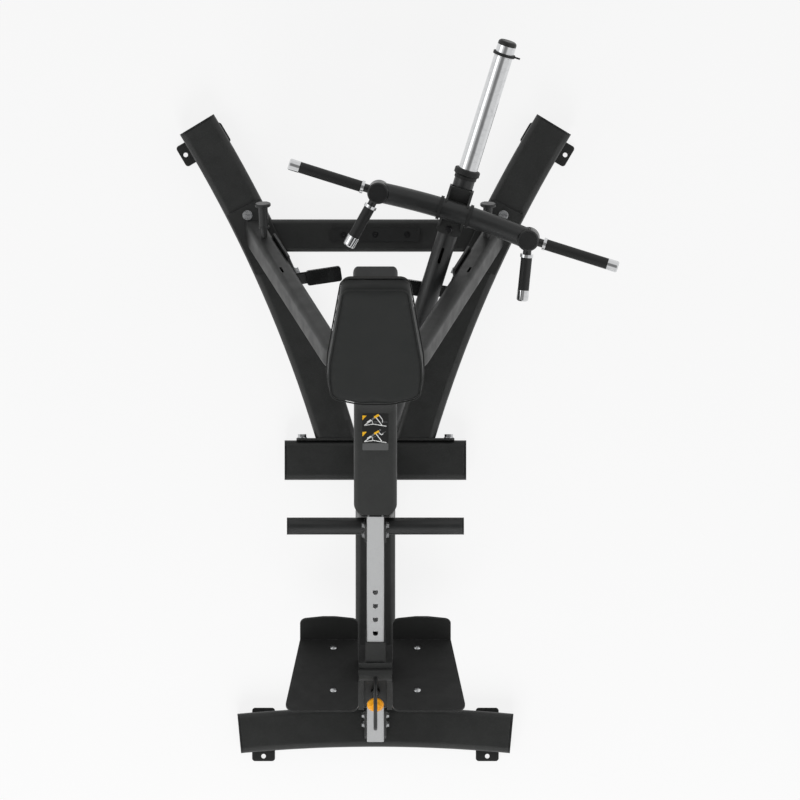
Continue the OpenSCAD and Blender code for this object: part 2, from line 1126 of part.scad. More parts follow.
module yoke() {
    low = beam_top + 10 + washer_t;
    color("#3a3b3a")
        difference() {
            union() {
                translate([0, pivot_y, low])
                    cylinder(r = yoke_r, h = yoke_floor - low);
                translate([0, pivot_y, 0])
                    rotate([0, 0, -rack_yaw])
                        union() {
                            translate([-cheek_gap - cheek_t, -32, yoke_floor - 14])
                                cube([2 * (cheek_gap + cheek_t), 64, 20]);
                            for (s = SIDES)
                                translate([s * (cheek_gap + cheek_t / 2) - cheek_t / 2, 0, 0])
                                    rotate([90, 0, 90])
                                        linear_extrude(cheek_t)
                                            soft_polygon(
                                                [[-32, yoke_floor - 14], [32, yoke_floor - 14],
                                                 [26, hinge_z + 26], [-26, hinge_z + 26]],
                                                [0, 0, 20, 20]
                                            );
                        }
            }
            translate([0, pivot_y, low - 1])
                cylinder(r = kingpin_r + shaft_gap, h = kingpin_top + 2 - low);
            translate([0, pivot_y, hinge_z])
                rotate([0, 0, -rack_yaw])
                    rotate([0, 90, 0])
                        cylinder(r = lift_pin_r, h = 200, center = true);
        }
}

module lift_pin() {
    length = 2 * (cheek_gap + cheek_t);
    color("#b0b1b2")
        translate([0, pivot_y, hinge_z])
            rotate([0, 0, -rack_yaw])
                rotate([0, 90, 0])
                    union() {
                        cylinder(r = lift_pin_r, h = length + 8, center = true);
                        for (s = SIDES)
                            translate([0, 0, s * (length / 2 + 4) - 2.5])
                                cylinder(r = 14, h = 5);
                    }
}

module arm_tube() {
    boss_half = cheek_gap - 1.5;
    color("#77797a")
        arm_frame()
            difference() {
                union() {
                    translate([0, arm_start, 0])
                        along_y(arm_end - arm_start)
                            circle(r = arm_r);
                    rotate([0, 90, 0])
                        cylinder(r = 24, h = 2 * boss_half, center = true);
                    translate([-boss_half + 4, 0, -20])
                        cube([2 * boss_half - 8, arm_start + 10, 40]);
                }
                translate([0, arm_start + 20, 0])
                    along_y(arm_end - arm_start - 26)
                        circle(r = arm_r - 4);
                rotate([0, 90, 0])
                    cylinder(r = lift_pin_r + 4, h = 100, center = true);
                translate([-4, slot_y - 18, 10])
                    cube([8, 36, 30]);
                for (s = SIDES)
                    translate([0, slot_y + s * 18, 10])
                        cylinder(r = 4, h = 30);
            }
}

module lift_bushes() {
    half = cheek_gap - 1.5;
    color("#b08d57")
        arm_frame()
            rotate([0, 90, 0])
                difference() {
                    cylinder(r = lift_pin_r + 4, h = 2 * half + 1, center = true);
                    cylinder(r = lift_pin_r + shaft_gap, h = 100, center = true);
                }
}

// Bracket that seats the handlebar on top of the arm
module bar_saddle() {
    half = 32.5;
    color("#4a4b4a")
        arm_frame()
            difference() {
                union() {
                    translate([0, bar_y - 8, arm_r])
                        linear_extrude(8)
                            soft_polygon(
                                [[-half, -60], [half, -60], [half, 68], [-half, 68]],
                                [14, 14, 14, 14]
                            );
                    for (s = SIDES)
                        translate([s * (half - 3) - 3, bar_y - 8, 0])
                            rotate([90, 0, 90])
                                linear_extrude(6)
                                    soft_polygon(
                                        [[-46, -16], [58, -16], [68, 4], [66, arm_r + 8], [34, bar_z + 18],
                                         [-16, bar_z + 18], [-46, arm_r + 8], [-56, 4]],
                                        [8, 8, 10, 10, 14, 14, 10, 10]
                                    );
                }
                along_bar(-100, 100)
                    circle(r = arm_r + 0.02);
                translate([0, bar_y - 100, 0])
                    along_y(200)
                        circle(r = arm_r);
            }
}

module saddle_bolt() {
    color("#b5b6b7")
        arm_frame()
            translate([0, bar_y - 54, arm_r + 8])
                hex_head(15, 7);
}

// Handlebar: one long bend, with both ends bowed back and down to the hubs
bar_sag = norm([bar_y - hub_y, bar_drop]);
bar_bend_r = (hub_half * hub_half + bar_sag * bar_sag) / (2 * bar_sag);
bar_roll = atan2(bar_drop, bar_y - hub_y);

// Sweeps a section along the bar's bend, between two distances across from its middle
module along_bar(from, to) {
    first = 90 - asin(to / bar_bend_r);
    last = 90 - asin(from / bar_bend_r);
    translate([0, bar_y, bar_z])
        rotate([bar_roll, 0, 0])
            translate([0, -bar_bend_r, 0])
                rotate([0, 0, first])
                    rotate_extrude(angle = last - first, $fn = 1440)
                        translate([bar_bend_r, 0])
                            children();
}

module crossbar() {
    color("#2f3030")
        arm_frame()
            difference() {
                along_bar(-hub_half, hub_half)
                    ring_section(arm_r);
                both_sides()
                    translate([hub_half, hub_y, bar_z - bar_drop - hub_h])
                        cylinder(r = hub_d / 2 + 0.02, h = 2 * hub_h);
            }
}

module bar_collars() {
    color("#242525")
        arm_frame()
            for (x = [-44, 36])
                along_bar(x, x + 8)
                    difference() {
                        circle(r = arm_r + 4.5);
                        circle(r = arm_r + 0.02);
                    }
}

module at_hubs() {
    arm_frame()
        both_sides()
            translate([hub_half, hub_y, bar_z - bar_drop])
                children();
}

module bar_hubs() {
    color("#2f3030")
        at_hubs() {
            difference() {
                rotate_extrude()
                    polygon([
                        [0, -hub_h / 2], [hub_d / 2 - 3, -hub_h / 2], [hub_d / 2, 3 - hub_h / 2],
                        [hub_d / 2, hub_h / 2 - 3], [hub_d / 2 - 3, hub_h / 2], [0, hub_h / 2]
                    ]);
                for (s = SIDES)
                    translate([0, 0, s * hub_h / 2])
                        cylinder(r = hub_d / 2 - 6, h = 8, center = true);
            }
        }
}

module hub_caps() {
    color("#5c5e5f")
        at_hubs()
            for (s = SIDES)
                translate([0, 0, s * (hub_h / 2 - 1.5)])
                    cylinder(r = hub_d / 2 - 6.2, h = 4.2, center = true);
}

// Places a piece along each grip's axis, drawn along +Z from the middle of the hub
module long_axis() {
    at_hubs()
        rotate([0, 90, 0])
            children();
}

module short_axis() {
    at_hubs()
        rotate([0, 0, short_splay])
            rotate([90, 0, 0])
                children();
}

neck_end = 40;
grip_cap_len = 29;
rod_r = 11;

module grip_rod(reach) {
    from = hub_d / 2 - 1;
    translate([0, 0, from])
        cylinder(r = rod_r, h = reach - 4 - from);
}

module sleeve_on_rod(from, to, r) {
    translate([0, 0, from])
        difference() {
            cylinder(r = r, h = to - from);
            translate([0, 0, -1])
                cylinder(r = rod_r, h = to - from + 2);
        }
}

module grip_rods() {
    color("#232424")
        difference() {
            union() {
                long_axis()
                    grip_rod(long_reach);
                short_axis()
                    grip_rod(short_reach);
            }
            at_hubs()
                cylinder(r = hub_d / 2 + 0.02, h = hub_h, center = true);
        }
}

module long_grips() {
    color("#2b2c2d")
        long_axis()
            sleeve_on_rod(neck_end + 8, long_reach - grip_cap_len, grip_d / 2);
}

module short_grips() {
    color("#2b2c2d")
        short_axis()
            sleeve_on_rod(neck_end + 8, short_reach - grip_cap_len, grip_d / 2);
}

module grip_end_cap(reach) {
    translate([0, 0, reach - grip_cap_len])
        difference() {
            rotate_extrude()
                polygon([
                    [0, 0], [grip_d / 2 + 0.8, 0], [grip_d / 2 + 0.8, grip_cap_len - 3],
                    [grip_d / 2 - 2, grip_cap_len], [0, grip_cap_len]
                ]);
            translate([0, 0, -1])
                cylinder(r = rod_r, h = grip_cap_len - 3);
        }
}

module grip_trims() {
    color("#d6d7d8") {
        long_axis() {
            sleeve_on_rod(neck_end, neck_end + 8, grip_d / 2 + 2.5);
            grip_end_cap(long_reach);
        }
        short_axis() {
            sleeve_on_rod(neck_end, neck_end + 8, grip_d / 2 + 2.5);
            grip_end_cap(short_reach);
        }
    }
}

module stop_collar() {
    color("#202121")
        arm_frame()
            translate([0, collar_y, 0])
                rotate([-90, 0, 0])
                    rotate_extrude()
                        polygon([
                            [0, 0], [29.5, 0], [29.5, 8], [31, 10], [34, 12], [34, 23], [32.5, 25.4],
                            [30.5, collar_t], [0, collar_t]
                        ]);
}

module weight_sleeve() {
    r = sleeve_d / 2;
    run = sleeve_len - cap_len;
    color("#cfd0d1")
        arm_frame()
            translate([0, sleeve_start, 0])
                rotate([-90, 0, 0])
                    rotate_extrude()
                        polygon([
                            [r - 5, 0], [r, 0], [r, groove_at], [r - 0.5, groove_at],
                            [r - 0.5, groove_at + 13], [r, groove_at + 13], [r, run], [r - 5, run]
                        ]);
}

module sleeve_end_cap() {
    r = sleeve_d / 2 - 0.4;
    color("#1c1d1d")
        arm_frame()
            translate([0, sleeve_end - cap_len, 0])
                rotate([-90, 0, 0])
                    rotate_extrude()
                        polygon([
                            [0, -14], [r - 5, -14], [r - 5, 0], [r, 0], [r, cap_len - 6],
                            [r - 1.5, cap_len - 2.5], [r - 5, cap_len], [0, cap_len]
                        ]);
}

// Plate lock: a ring on the sleeve with a small lever
module lock_ring() {
    color("#17181a")
        arm_frame()
            translate([0, ring_y, 0]) {
                along_y(ring_t)
                    difference() {
                        circle(r = sleeve_d / 2 + 4.5);
                        circle(r = sleeve_d / 2 + shaft_gap);
                    }
                translate([sleeve_d / 2 + 3.5, ring_t / 2, 0])
                    along_x(15)
                        circle(r = 2.4);
            }
}

rear_foot();
rear_floor_tabs();
base_beam();
front_cross_tube();
beam_end_caps();
v_flange();
v_beam_left();
v_beam_right();
far_floor_tabs();
far_cross_beam();
arm_bumper();
bumper_screws();
frame_bolts();
strut_left();
strut_right();
strut_saddles();
band_pegs();
cradle_brackets();
cradle_pads();
spine();
spine_top_cap();
decal_panel();
riser_post();
slide_rail();
rail_end_plate();
rail_brackets();
rail_bolts();
foot_crossbar();
foot_crossbar_caps();
pad_board();
pad_cushion();
pivot_base();
kingpin();
thrust_washer();
yoke();
lift_pin();
arm_tube();
lift_bushes();
bar_saddle();
saddle_bolt();
crossbar();
bar_collars();
bar_hubs();
hub_caps();
grip_rods();
long_grips();
short_grips();
grip_trims();
stop_collar();
weight_sleeve();
sleeve_end_cap();
lock_ring();
carriage_body();
carriage_liners();
foot_plate_left();
foot_plate_right();
foot_plate_bolts();
lift_handle();
lock_pin();
pin_knob();
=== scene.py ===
import json
import math

import bmesh
import bpy
from mathutils import Matrix, Vector


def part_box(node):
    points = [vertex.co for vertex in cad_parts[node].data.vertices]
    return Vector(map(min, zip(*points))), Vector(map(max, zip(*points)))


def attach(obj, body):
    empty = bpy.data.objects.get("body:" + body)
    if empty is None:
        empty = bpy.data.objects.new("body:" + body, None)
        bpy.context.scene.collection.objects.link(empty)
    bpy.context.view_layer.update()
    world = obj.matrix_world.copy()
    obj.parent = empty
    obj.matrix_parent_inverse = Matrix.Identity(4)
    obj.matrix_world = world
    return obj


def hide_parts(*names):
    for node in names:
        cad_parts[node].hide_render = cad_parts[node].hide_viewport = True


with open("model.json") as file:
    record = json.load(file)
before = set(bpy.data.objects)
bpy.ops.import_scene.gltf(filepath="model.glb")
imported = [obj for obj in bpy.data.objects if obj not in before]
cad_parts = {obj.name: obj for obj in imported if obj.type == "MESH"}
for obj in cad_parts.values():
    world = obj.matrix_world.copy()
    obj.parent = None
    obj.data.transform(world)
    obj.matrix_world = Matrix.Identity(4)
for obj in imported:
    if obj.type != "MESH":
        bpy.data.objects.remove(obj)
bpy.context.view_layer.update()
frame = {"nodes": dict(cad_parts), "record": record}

MM = 0.001


# ---- Small helpers ----


def linear(code):
    """An sRGB hex colour as the linear colour that a shader takes."""
    parts = [int(code[i : i + 2], 16) / 255 for i in (1, 3, 5)]
    return [c / 12.92 if c <= 0.04045 else ((c + 0.055) / 1.055) ** 2.4 for c in parts] + [1.0]


def add(tree, kind, settings=None, sockets=None):
    """Adds one node, sets its settings, and fills or links its sockets."""
    node = tree.nodes.new(kind)
    for name, value in (settings or {}).items():
        setattr(node, name, value)
    for name, value in (sockets or {}).items():
        if isinstance(value, bpy.types.NodeSocket):
            tree.links.new(value, node.inputs[name])
        else:
            node.inputs[name].default_value = value
    return node


def new_material(name):
    material = bpy.data.materials.new(name)
    material.use_nodes = True
    tree = material.node_tree
    tree.nodes.clear()
    place = add(tree, "ShaderNodeTexCoord").outputs["Object"]
    return material, tree, place


def finish_material(tree, shader):
    add(tree, "ShaderNodeOutputMaterial", None, {"Surface": shader.outputs["BSDF"]})


def worn_edges(tree, place, radius, patch):
    """A soft edge normal, and a mask that is 1 where a sharp edge has lost some of its finish."""
    soft = add(tree, "ShaderNodeBevel", {"samples": 4}, {"Radius": radius}).outputs["Normal"]
    flat = add(tree, "ShaderNodeNewGeometry").outputs["Normal"]
    alike = add(tree, "ShaderNodeVectorMath", {"operation": "DOT_PRODUCT"}, {0: soft, 1: flat})
    edge = add(
        tree, "ShaderNodeMapRange", None,
        {
            "Value": alike.outputs["Value"],
            "From Min": 0.995, "From Max": 0.80, "To Min": 0.0, "To Max": 1.0,
        },
    )
    rubbed = add(
        tree, "ShaderNodeTexNoise", None,
        {"Vector": place, "Scale": 1 / patch, "Detail": 4.0, "Roughness": 0.6},
    )
    some = add(
        tree, "ShaderNodeMapRange", None,
        {"Value": rubbed.outputs["Fac"], "From Min": 0.42, "From Max": 0.66, "To Min": 0.0, "To Max": 1.0},
    )
    mask = add(
        tree, "ShaderNodeMath", {"operation": "MULTIPLY"},
        {0: edge.outputs["Result"], 1: some.outputs["Result"]},
    )
    return soft, mask.outputs["Value"]


def noise(tree, place, size, detail=3.0, roughness=0.55):
    """Noise whose lumps are about size metres across."""
    made = add(
        tree, "ShaderNodeTexNoise", None,
        {"Vector": place, "Scale": 1 / size, "Detail": detail, "Roughness": roughness},
    )
    return made.outputs["Fac"]


def between(tree, factor, low, high, start=0.35, end=0.65):
    """Numbers from low to high as factor goes from start to end."""
    made = add(
        tree, "ShaderNodeMapRange", None,
        {"Value": factor, "From Min": start, "From Max": end, "To Min": low, "To Max": high},
    )
    return made.outputs["Result"]


def blend_colour(tree, factor, first, second):
    """first where factor is 0 and second where it is 1; each is a colour or a socket."""
    mix = add(tree, "ShaderNodeMix", {"data_type": "RGBA"})
    for index, value in ((0, factor), (6, first), (7, second)):
        if isinstance(value, bpy.types.NodeSocket):
            tree.links.new(value, mix.inputs[index])
        else:
            mix.inputs[index].default_value = value
    return mix.outputs[2]


def bump(tree, height, distance, strength, normal=None):
    sockets = {"Height": height, "Distance": distance, "Strength": strength}
    if normal is not None:
        sockets["Normal"] = normal
    return add(tree, "ShaderNodeBump", None, sockets).outputs["Normal"]


# ---- Materials ----


def powder_coat(name, dark, light, bare="#8b8d8e", grain=1.4 * MM, roughness=0.46, orange_peel=0.30):
    """Polyester powder coat baked on steel: satin, with a faint orange peel and slightly rubbed edges.
    The real peel is near 1 mm; it is drawn a little coarser so that it shows."""
    material, tree, place = new_material(name)
    cloud = noise(tree, place, 110 * MM, 2.0)
    fleck = noise(tree, place, 0.8 * MM, 2.0)
    soft, wear = worn_edges(tree, place, 1.6 * MM, 14 * MM)
    paint = blend_colour(tree, between(tree, cloud, 0, 1), linear(dark), linear(light))
    paint = blend_colour(tree, between(tree, fleck, 0, 0.16, 0.55, 0.72), paint, linear(bare))
    paint = blend_colour(tree, between(tree, wear, 0, 0.42, 0, 1), paint, linear(bare))
    gloss = between(tree, noise(tree, place, 35 * MM, 4.0), roughness - 0.05, roughness + 0.07)
    shader = add(
        tree, "ShaderNodeBsdfPrincipled", None,
        {
            "Base Color": paint,
            "Roughness": gloss,
            "IOR": 1.5,
            "Normal": bump(tree, noise(tree, place, grain, 2.0), 0.12 * MM, orange_peel, soft),
        },
    )
    finish_material(tree, shader)
    return material


def grit_coat(name):
    """Textured powder coat for shoes: near black, rough, with a sandpaper grit of about 1.5 mm; its hollows
    are painted darker (painted shade) and its tops lighter (painted highlight).
    """
    material, tree, place = new_material(name)
    grit = add(tree, "ShaderNodeTexVoronoi", {"feature": "F1"}, {"Vector": place, "Scale": 1 / (1.7 * MM)})
    soft, wear = worn_edges(tree, place, 1.5 * MM, 10 * MM)
    scuff = noise(tree, place, 60 * MM, 5.0, 0.65)
    # Painted shade and highlight: the colour follows the grit's height, dark in its hollows and lighter on
    # its tops.
    grit_shade_and_highlight = between(tree, grit.outputs["Distance"], 0, 1, 0.1, 0.7)
    colour = blend_colour(tree, grit_shade_and_highlight, linear("#0a0b0a"), linear("#141514"))
    colour = blend_colour(tree, between(tree, scuff, 0, 0.22, 0.52, 0.75), colour, linear("#242423"))
    colour = blend_colour(tree, between(tree, wear, 0, 0.5, 0, 1), colour, linear("#7d7f80"))
    shader = add(
        tree, "ShaderNodeBsdfPrincipled", None,
        {
            "Base Color": colour,
            "Roughness": between(tree, scuff, 0.62, 0.78),
            "IOR": 1.5,
            "Sheen Weight": 0.3,
            "Sheen Roughness": 0.35,
            "Normal": bump(tree, grit.outputs["Distance"], 0.35 * MM, 0.45, soft),
        },
    )
    finish_material(tree, shader)
    return material


def anodised_rail(name):
    """Extruded aluminium, silver anodised: pale, satin, with fine draw lines along its length."""
    material, tree, place = new_material(name)
    turned = add(
        tree, "ShaderNodeMapping", None,
        {"Vector": place, "Rotation": (-math.radians(40), 0, 0), "Scale": (1, 0.012, 1)},
    ).outputs["Vector"]
    lines = noise(tree, turned, 0.9 * MM, 3.0)
    rub = noise(tree, place, 22 * MM, 5.0, 0.65)
    soft, wear = worn_edges(tree, place, 0.9 * MM, 9 * MM)
    colour = blend_colour(tree, between(tree, lines, 0, 1), linear("#aaabac"), linear("#b9baba"))
    colour = blend_colour(tree, between(tree, rub, 0, 0.25, 0.55, 0.75), colour, linear("#9b9c9e"))
    colour = blend_colour(tree, wear, colour, linear("#e6e7e8"))
    shader = add(
        tree, "ShaderNodeBsdfPrincipled", None,
        {
            "Base Color": colour,
            "Metallic": 0.35,
            "Roughness": between(tree, lines, 0.36, 0.48),
            "Normal": bump(tree, lines, 0.03 * MM, 0.25, soft),
        },
    )
    finish_material(tree, shader)
    return material


def plated_steel(name, dark="#a9abad", light="#c8c9ca", roughness=0.3):
    """Bright zinc plate on bolts and pins: grey metal with a faint cloudy bloom."""
    material, tree, place = new_material(name)
    bloom = noise(tree, place, 5 * MM, 4.0, 0.6)
    soft, wear = worn_edges(tree, place, 0.6 * MM, 4 * MM)
    colour = blend_colour(tree, between(tree, bloom, 0, 1), linear(dark), linear(light))
    colour = blend_colour(tree, wear, colour, linear("#eeeeee"))
    shader = add(
        tree, "ShaderNodeBsdfPrincipled", None,
        {
            "Base Color": colour,
            "Metallic": 1.0,
            "Roughness": between(tree, bloom, roughness - 0.05, roughness + 0.1),
            "Normal": bump(tree, bloom, 0.03 * MM, 0.2, soft),
        },
    )
    finish_material(tree, shader)
    return material


def hard_chrome(name):
    """Hard chrome on a turned bar: a mirror with fine polishing rings and light rubbing from plates."""
    material, tree, place = new_material(name)
    rub = noise(tree, place, 12 * MM, 3.0, 0.55)
    fine = noise(tree, place, 0.7 * MM, 2.0)
    soft = add(tree, "ShaderNodeBevel", {"samples": 4}, {"Radius": 0.5 * MM}).outputs["Normal"]
    colour = blend_colour(tree, between(tree, rub, 0, 1, 0.5, 0.8), linear("#d9dadb"), linear("#c4c5c7"))
    shader = add(
        tree, "ShaderNodeBsdfPrincipled", None,
        {
            "Base Color": colour,
            "Metallic": 1.0,
            "Roughness": between(tree, rub, 0.06, 0.13, 0.4, 0.8),
            "Normal": bump(tree, fine, 0.01 * MM, 0.03, soft),
        },
    )
    finish_material(tree, shader)
    return material


def bearing_bronze(name):
    """Sintered bronze, oiled: warm, fine-pored and darker where oil has settled."""
    material, tree, place = new_material(name)
    pores = noise(tree, place, 0.8 * MM, 2.0)
    oil = noise(tree, place, 9 * MM, 4.0)
    colour = blend_colour(tree, between(tree, oil, 0, 1), linear("#8c6a3a"), linear("#b9935a"))
    shader = add(
        tree, "ShaderNodeBsdfPrincipled", None,
        {
            "Base Color": colour,
            "Metallic": 1.0,
            "Roughness": between(tree, pores, 0.35, 0.5),
            "Normal": bump(tree, pores, 0.05 * MM, 0.3),
        },
    )
    finish_material(tree, shader)
    return material


def pad_vinyl(name):
    """Black upholstery vinyl: embossed leather grain of about 1.6 mm with painted shade in its pits, soft
    sheen, faint creases.
    """
    material, tree, place = new_material(name)
    pebbles = add(
        tree, "ShaderNodeTexVoronoi", {"feature": "SMOOTH_F1"},
        {"Vector": place, "Scale": 1 / (1.9 * MM), "Smoothness": 0.35},
    ).outputs["Distance"]
    cloud = noise(tree, place, 70 * MM, 3.0)
    crease = noise(tree, place, 16 * MM, 5.0, 0.6)
    colour = blend_colour(tree, between(tree, cloud, 0, 1), linear("#121413"), linear("#171918"))
    # Painted shade: the colour darkens towards #0b0c0c in the low pits of the grain.
    colour = blend_colour(tree, between(tree, pebbles, 0.35, 0, 0.0, 0.35), colour, linear("#0b0c0c"))
    grain = bump(tree, pebbles, 0.16 * MM, 0.35)
    shader = add(
        tree, "ShaderNodeBsdfPrincipled", None,
        {
            "Base Color": colour,
            "Roughness": between(tree, cloud, 0.56, 0.66),
            "IOR": 1.42,
            "Sheen Weight": 0.03,
            "Sheen Roughness": 0.5,
            "Normal": bump(tree, crease, 0.5 * MM, 0.12, grain),
        },
    )
    finish_material(tree, shader)
    return material


def moulded(name, dark, light, roughness=0.5, texture=1.1 * MM, depth=0.3, patch=45 * MM):
    """Injection-moulded or pressed part: even colour with a little drift, fine spark-eroded texture."""
    material, tree, place = new_material(name)
    drift = noise(tree, place, patch, 3.0)
    spark = noise(tree, place, texture, 2.0)
    soft, wear = worn_edges(tree, place, 0.8 * MM, 8 * MM)
    colour = blend_colour(tree, between(tree, drift, 0, 1), linear(dark), linear(light))
    colour = blend_colour(tree, between(tree, wear, 0, 0.25, 0, 1), colour, linear("#8f8f8d"))
    shader = add(
        tree, "ShaderNodeBsdfPrincipled", None,
        {
            "Base Color": colour,
            "Roughness": between(tree, drift, roughness - 0.05, roughness + 0.06),
            "IOR": 1.46,
            "Normal": bump(tree, spark, 0.08 * MM, depth, soft),
        },
    )
    finish_material(tree, shader)
    return material


def painted_plywood(name):
    """Birch plywood stained black: long grain lines show through the stain."""
    material, tree, place = new_material(name)
    stretched = add(
        tree, "ShaderNodeMapping", None,
        {"Vector": place, "Rotation": (-math.radians(40), 0, 0), "Scale": (1, 0.06, 1)},
    ).outputs["Vector"]
    grain = noise(tree, stretched, 2.2 * MM, 4.0, 0.6)
    colour = blend_colour(tree, between(tree, grain, 0, 1), linear("#171614"), linear("#2b2926"))
    shader = add(
        tree, "ShaderNodeBsdfPrincipled", None,
        {
            "Base Color": colour,
            "Roughness": between(tree, grain, 0.6, 0.75),
            "IOR": 1.45,
            "Normal": bump(tree, grain, 0.1 * MM, 0.3),
        },
    )
    finish_material(tree, shader)
    return material


FINISHES = {
    "frame_paint": powder_coat("black powder coat", "#1c1d1c", "#222322"),
    "hoop_paint": powder_coat("black powder coat, tubes", "#1e1f1e", "#242524"),
    "bracket_paint": powder_coat("black powder coat, brackets", "#191a19", "#1f201f", roughness=0.5),
    "bar_paint": powder_coat("black powder coat, bar", "#191a1a", "#1f2020", roughness=0.36),
    "arm_paint": powder_coat("black powder coat, arm", "#1c1d1d", "#232424", roughness=0.36),
    "grip_plate": grit_coat("gritted powder coat"),
    "rail_metal": anodised_rail("anodised aluminium"),
    "plated": plated_steel("zinc plated steel"),
    "chrome": hard_chrome("hard chrome"),
    "bronze": bearing_bronze("bearing bronze"),
    "pad_vinyl": pad_vinyl("black upholstery vinyl"),
    "board": painted_plywood("black stained plywood"),
    "caps": moulded("black nylon", "#151616", "#1b1c1c", 0.45),
    "liner": moulded("white acetal", "#d0d1ce", "#dddedb", 0.4),
    "rubber": moulded("black rubber", "#0f1010", "#151616", 0.58, 1.3 * MM, 0.4),
    "grip_rubber": moulded("grip rubber", "#0e0f0f", "#131414", 0.52, 1.6 * MM, 0.5),
    "knob": moulded("orange nylon", "#ffa60c", "#ffb018", 0.46, 1.0 * MM, 0.12),
    "cradle": moulded("polished black strip", "#1a1b1b", "#212222", 0.24, 1.0 * MM, 0.08),
    "dark_steel": plated_steel("black oxide steel", "#2b2b2c", "#39393a", 0.34),
    "decal": moulded("printed black film", "#090a09", "#0d0e0d", 0.35, 1.0 * MM, 0.08),
}

record_slots = {part["node"]: part["material_slot"] for part in frame["record"]["subparts"]}
for node_name, shown in frame["nodes"].items():
    shown.data.materials.clear()
    shown.data.materials.append(FINISHES[record_slots[node_name]])


# ---- Chest pad ----

PAD_SLOPE = math.radians(40)
PAD_PLACE = Matrix.Translation((0, 1.070, 0.902)) @ Matrix.Rotation(PAD_SLOPE, 4, "X")
SKIN_SPACING = 5 * MM
COVER_PRESSURE = 4
COVER_STEPS = 20
MOST_SWELL = 4 * MM
BACK_HEIGHT = -36 * MM
BACK_GIVE = 0.15
# How far in from the outline and how high over the front each ring of the upholstered block lies
BLOCK_SECTION = [
    (6, -44), (2, -42), (0.5, -36), (0.5, -14), (1.2, -9), (3, -5.5), (6.5, -3.4), (12, -3)
]


def pad_outline(inset):
    """Corner points of the pad and their radii, in millimetres, going round it."""
    wide, top, low = 129.5 - inset, 203 - inset, -203 + inset
    right = [
        ((wide * 0.32, low), 120), ((wide - 7, low + 20), 30), ((wide, low + 90), 120),
        ((wide - 2, -55), 200), ((wide * 0.7, top), 26),
    ]
    left = [((-x, y), radius) for (x, y), radius in reversed(right)]
    return right + left


def round_corners(corners, steps=8):
    """Points along an outline whose corners are rounded."""
    points = []
    count = len(corners)
    for i, (here, radius) in enumerate(corners):
        here = Vector(here)
        before = (Vector(corners[i - 1][0]) - here).normalized()
        after = (Vector(corners[(i + 1) % count][0]) - here).normalized()
        half = before.angle(after) / 2
        middle = here + (before + after).normalized() * radius / math.sin(half)
        first = here + before * radius / math.tan(half) - middle
        last = here + after * radius / math.tan(half) - middle
        start = math.atan2(first.y, first.x)
        turn = (math.atan2(last.y, last.x) - start + math.pi) % math.tau - math.pi
        for k in range(steps + 1):
            angle = start + turn * k / steps
            points.append(middle + radius * Vector((math.cos(angle), math.sin(angle))))
    return points


def outline_ring(mesh, inset, height):
    """A closed ring of edges along the pad's outline, at that inset and height over its front."""
    points = round_corners(pad_outline(inset))
    corners = [mesh.verts.new((p.x * MM, p.y * MM, height * MM)) for p in points]
    return [mesh.edges.new((v, corners[(i + 1) % len(corners)])) for i, v in enumerate(corners)]


def object_from(mesh, name, material, place=Matrix.Identity(4), smooth=True):
    """Turns a bmesh into an object at the origin, with its place in its mesh."""
    bmesh.ops.remove_doubles(mesh, verts=mesh.verts, dist=0.00002)
    bmesh.ops.transform(mesh, matrix=place, verts=mesh.verts)
    bmesh.ops.recalc_face_normals(mesh, faces=mesh.faces)
    for face in mesh.faces:
        face.smooth = smooth
    data = bpy.data.meshes.new(name)
    mesh.to_mesh(data)
    mesh.free()
    data.materials.append(material)
    made = bpy.data.objects.new(name, data)
    bpy.context.scene.collection.objects.link(made)
    return made


def apply_modifiers(shape):
    graph = bpy.context.evaluated_depsgraph_get()
    data = bpy.data.meshes.new_from_object(shape.evaluated_get(graph))
    shape.modifiers.clear()
    old = shape.data
    shape.data = data
    bpy.data.meshes.remove(old)


def stuffed_cover():
    """The vinyl cover: an upholstered block, blown up a little over its foam and its board."""
    mesh = bmesh.new()
    rings = [outline_ring(mesh, inset, height) for inset, height in BLOCK_SECTION]
    for lower, upper in zip(rings, rings[1:]):
        bmesh.ops.bridge_loops(mesh, edges=lower + upper)
    for ring in (rings[0], rings[-1]):
        bmesh.ops.contextual_create(mesh, geom=ring)
    cover = object_from(mesh, "chest_pad", FINISHES["pad_vinyl"])
    remesh = cover.modifiers.new("even skin", "REMESH")
    remesh.mode = "VOXEL"
    remesh.voxel_size = SKIN_SPACING
    apply_modifiers(cover)
    start = [v.co.copy() for v in cover.data.vertices]
    cloth = cover.modifiers.new("cover", "CLOTH")
    cloth.settings.use_pressure = True
    cloth.settings.uniform_pressure_force = COVER_PRESSURE
    cloth.settings.effector_weights.gravity = 0
    for number in range(1, COVER_STEPS + 1):
        bpy.context.scene.frame_set(number)
    apply_modifiers(cover)
    bpy.context.scene.frame_set(1)
    # The foam limits how far a point moves, and the back stays on the board.
    for vertex, before in zip(cover.data.vertices, start):
        move = vertex.co - before
        if move.length > MOST_SWELL:
            move *= MOST_SWELL / move.length
        if before.z < BACK_HEIGHT:
            move *= BACK_GIVE
        vertex.co = before + move
    smoother = bmesh.new()
    smoother.from_mesh(cover.data)
    for _ in range(3):
        bmesh.ops.smooth_vert(
            smoother, verts=smoother.verts, factor=0.5, use_axis_x=True, use_axis_y=True, use_axis_z=True
        )
    bmesh.ops.transform(smoother, matrix=PAD_PLACE, verts=smoother.verts)
    for face in smoother.faces:
        face.smooth = True
    smoother.to_mesh(cover.data)
    smoother.free()
    rounder = cover.modifiers.new("round", "SUBSURF")
    rounder.levels = 1
    rounder.render_levels = 1
    cover.data.materials.clear()
    cover.data.materials.append(FINISHES["pad_vinyl"])
    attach(cover, "frame")
    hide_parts("pad_cushion")
    return cover


